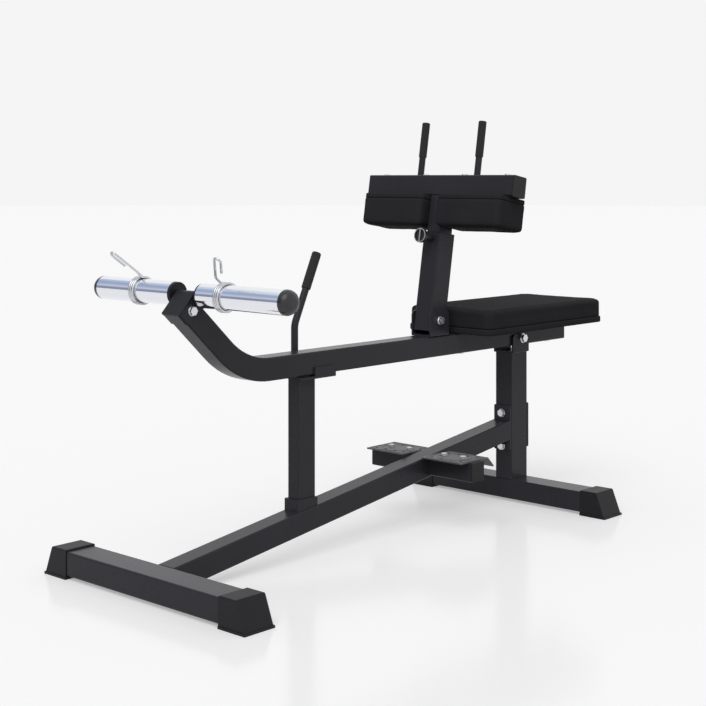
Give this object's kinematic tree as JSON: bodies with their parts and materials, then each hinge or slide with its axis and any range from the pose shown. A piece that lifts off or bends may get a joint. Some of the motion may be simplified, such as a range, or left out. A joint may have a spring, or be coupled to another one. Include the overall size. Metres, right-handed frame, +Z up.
{
  "type": "seated calf raise machine",
  "caption": "Seated calf raise machine: a see-saw lever with a seat, padded knee unit and weight sleeves on a low floor frame, with foot plates and a swinging catch.",
  "frame": {"origin": "on the floor, under the middle of the machine's bounding box", "axes": "+Z up; +X towards the seat end, -X towards the weight sleeves; Y across, with the base symmetric about Y = 0"},
  "size_m": [1.448, 0.61, 0.9625],
  "materials": {
    "frame_paint": "satin powder coat",
    "tread_paint": "matt embossed",
    "zinc_steel": "bright zinc",
    "chrome": "polished",
    "black_plastic": "moulded",
    "black_vinyl": "soft vinyl",
    "board": "black wrapped",
    "grip_rubber": "matt"
  },
  "bodies": {
    "frame": {"front_base_tube": "frame_paint", "rear_base_tube": "frame_paint", "front_left_foot_cap": "black_plastic", "front_right_foot_cap": "black_plastic", "rear_left_foot_cap": "black_plastic", "rear_right_foot_cap": "black_plastic", "diagonal_beam": "frame_paint", "beam_end_plate": "frame_paint", "upright_back_plate": "frame_paint", "rear_upright": "frame_paint", "frame_bolts": "zinc_steel", "frame_nuts": "zinc_steel", "pivot_bracket": "frame_paint", "pivot_bolt": "zinc_steel", "pivot_nut": "zinc_steel", "left_foot_bar": "frame_paint", "right_foot_bar": "frame_paint", "foot_bar_caps": "black_plastic", "left_foot_plate": "tread_paint", "right_foot_plate": "tread_paint", "foot_plate_bolts": "zinc_steel", "catch_bracket": "frame_paint", "catch_pin": "zinc_steel"},
    "lever": {"lever_beam": "frame_paint", "lever_nose_cap": "black_plastic", "lever_rear_cap": "black_plastic", "pivot_sleeve": "zinc_steel", "sleeve_axle": "frame_paint", "lever_bolts": "zinc_steel", "lever_nuts": "zinc_steel", "left_weight_sleeve": "chrome", "right_weight_sleeve": "chrome", "sleeve_caps": "black_plastic", "sleeve_plugs": "black_plastic", "knee_bracket": "frame_paint", "seat_board": "board", "seat_cushion": "black_vinyl", "seat_bolts": "zinc_steel"},
    "knee_post": {"knee_outer_post": "frame_paint", "post_bushing": "black_plastic", "pull_pin_barrel": "zinc_steel", "pull_pin_spring": "chrome"},
    "pull_pin": {"pull_pin": "chrome", "pull_pin_knob": "black_plastic"},
    "knee_unit": {"knee_inner_post": "frame_paint", "knee_crossbeam": "frame_paint", "crossbeam_caps": "black_plastic", "pad_boards": "board", "left_knee_pad": "black_vinyl", "right_knee_pad": "black_vinyl", "pad_bolts": "zinc_steel", "knee_handles": "frame_paint", "knee_grips": "grip_rubber"},
    "catch": {"catch_post": "frame_paint", "catch_saddle": "frame_paint", "catch_pad": "grip_rubber", "catch_rod": "frame_paint", "catch_grip": "grip_rubber"},
    "left_clip": {"left_spring_clip": "chrome"},
    "right_clip": {"right_spring_clip": "chrome"}
  },
  "joints": [
    {"name": "lever_pivot", "type": "hinge", "parent": "frame", "child": "lever", "pos_m": [0.504, 0, 0.4145], "axis": [0, 1, 0], "range_deg": [0, 20]},
    {"name": "knee_post_hinge", "type": "hinge", "parent": "lever", "child": "knee_post", "pos_m": [0.1695, 0, 0.484], "axis": [0, 1, 0], "range_deg": [-19, 0]},
    {"name": "knee_height", "type": "slide", "parent": "knee_post", "child": "knee_unit", "axis": [0.1668, 0, 0.986], "range_m": [0, 0.12]},
    {"name": "pull_pin_pull", "type": "slide", "parent": "knee_post", "child": "pull_pin", "axis": [-0.986, 0, 0.1668], "range_m": [0, 0.008], "stiffness_N_per_m": 600, "springref_m": -0.01, "deforming": ["pull_pin_spring"]},
    {"name": "catch_swing", "type": "hinge", "parent": "frame", "child": "catch", "pos_m": [-0.27, 0, 0.12106], "axis": [0, 1, 0], "range_deg": [0, 28]},
    {"name": "left_clip_slide", "type": "slide", "parent": "lever", "child": "left_clip", "axis": [0, -1, 0], "range_m": [-0.045, 0.15]},
    {"name": "right_clip_slide", "type": "slide", "parent": "lever", "child": "right_clip", "axis": [0, 1, 0], "range_m": [-0.095, 0.1]}
  ]
}
